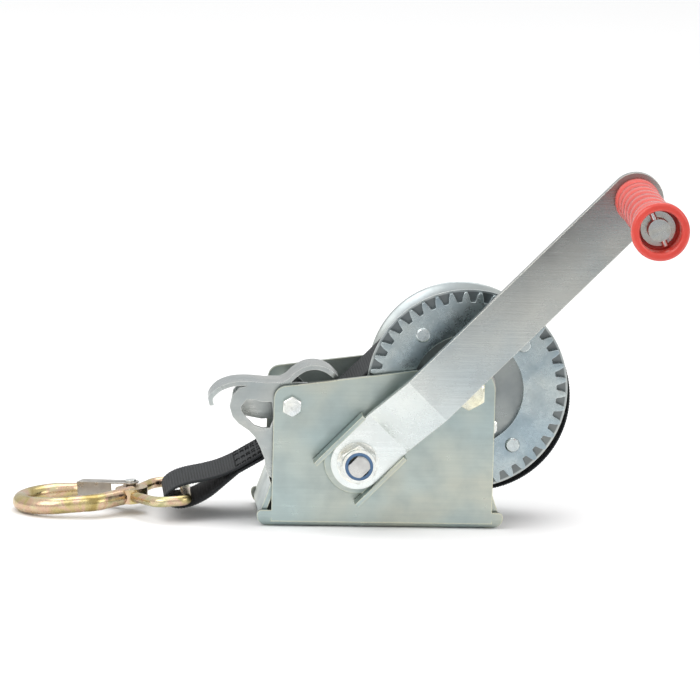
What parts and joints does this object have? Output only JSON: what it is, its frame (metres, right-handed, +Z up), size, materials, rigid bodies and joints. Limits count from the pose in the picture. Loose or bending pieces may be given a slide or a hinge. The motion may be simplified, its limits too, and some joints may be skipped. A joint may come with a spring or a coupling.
{
  "type": "hand winch",
  "caption": "Hand winch for a boat trailer: U-shaped steel frame, geared drum with webbing strap and snap hook, crank arm with free-turning grip, and a rocking pawl.",
  "frame": {"origin": "centre of the four base slots, on the underside of the base", "axes": "+Z up out of the base, +X from the strap side to the drum side, +Y away from the crank"},
  "size_m": [0.3536, 0.2304, 0.2057],
  "materials": {
    "zinc_plate": "bright zinc with pale blue and yellow tints",
    "zinc_gear": "bright zinc, blue tint",
    "zinc_flange": "bright zinc",
    "zinc_arm": "bright zinc",
    "zinc_pawl": "bright zinc",
    "zinc_fastener": "bright zinc",
    "yellow_zinc_bolt": "pale yellow zinc",
    "yellow_zinc": "yellow zinc",
    "plain_steel": "machined",
    "spring_steel": "spring steel",
    "white_nylon": "moulded",
    "blue_nylon": "moulded",
    "red_plastic": "moulded",
    "webbing": "woven polyester",
    "thread": "sewing thread"
  },
  "bodies": {
    "frame": {"frame_channel": "zinc_plate", "shaft_bushes": "white_nylon", "drum_axle_bolt": "yellow_zinc_bolt", "drum_axle_nut": "zinc_fastener", "axle_sleeve": "plain_steel", "pawl_bolt": "zinc_fastener", "pawl_nut": "zinc_fastener", "pawl_sleeve": "plain_steel", "strap_tail": "webbing", "strap_stitching": "thread"},
    "drum": {"drum_gear": "zinc_gear", "near_flange": "zinc_flange", "far_flange": "zinc_flange", "drum_barrel": "plain_steel", "drum_bushes": "white_nylon", "drum_rivets": "zinc_fastener", "wound_strap": "webbing", "strap_anchor_bolt": "zinc_fastener", "strap_anchor_nut": "zinc_fastener"},
    "crank": {"crank_shaft": "plain_steel", "pinion": "plain_steel", "shaft_circlip": "spring_steel", "shaft_washer": "zinc_fastener", "crank_bracket": "zinc_plate", "crank_arm": "zinc_arm", "crank_nut": "zinc_fastener", "crank_nut_insert": "blue_nylon", "grip_spindle": "zinc_fastener", "grip_washer": "zinc_fastener", "split_pin": "zinc_fastener"},
    "grip": {"grip": "red_plastic"},
    "pawl": {"pawl_lever": "zinc_pawl", "pawl_spring": "spring_steel"},
    "hook": {"snap_hook": "yellow_zinc", "latch_rivet": "zinc_fastener", "latch_spring": "spring_steel"},
    "latch": {"hook_latch": "spring_steel"}
  },
  "joints": [
    {"name": "drum_spin", "type": "hinge", "parent": "frame", "child": "drum", "pos_m": [0.0473, 0, 0.0776], "axis": [0, 1, 0], "continuous": true},
    {"name": "crank_spin", "type": "hinge", "parent": "frame", "child": "crank", "pos_m": [-0.0138, 0, 0.03857], "axis": [0, 1, 0], "continuous": true},
    {"name": "grip_spin", "type": "hinge", "parent": "crank", "child": "grip", "pos_m": [0.13453, 0, 0.19004], "axis": [0, 1, 0], "continuous": true},
    {"name": "pawl_rock", "type": "hinge", "parent": "frame", "child": "pawl", "pos_m": [-0.0505, 0, 0.0682], "axis": [0, 1, 0], "range_deg": [-6, 8]},
    {"name": "hook_swing", "type": "hinge", "parent": "frame", "child": "hook", "pos_m": [-0.107, 0, 0.013], "axis": [0, 1, 0], "range_deg": [-70, 70]},
    {"name": "latch_open", "type": "hinge", "parent": "hook", "child": "latch", "pos_m": [-0.13688, 0.008, 0.01033], "axis": [-0.0889, 0, 0.996], "range_deg": [0, 28], "stiffness_Nm_per_rad": 0.06, "springref_deg": -14.32}
  ],
  "couplings": [
    {"joint": "crank_spin", "follows": "drum_spin", "ratio": -2.625}
  ]
}
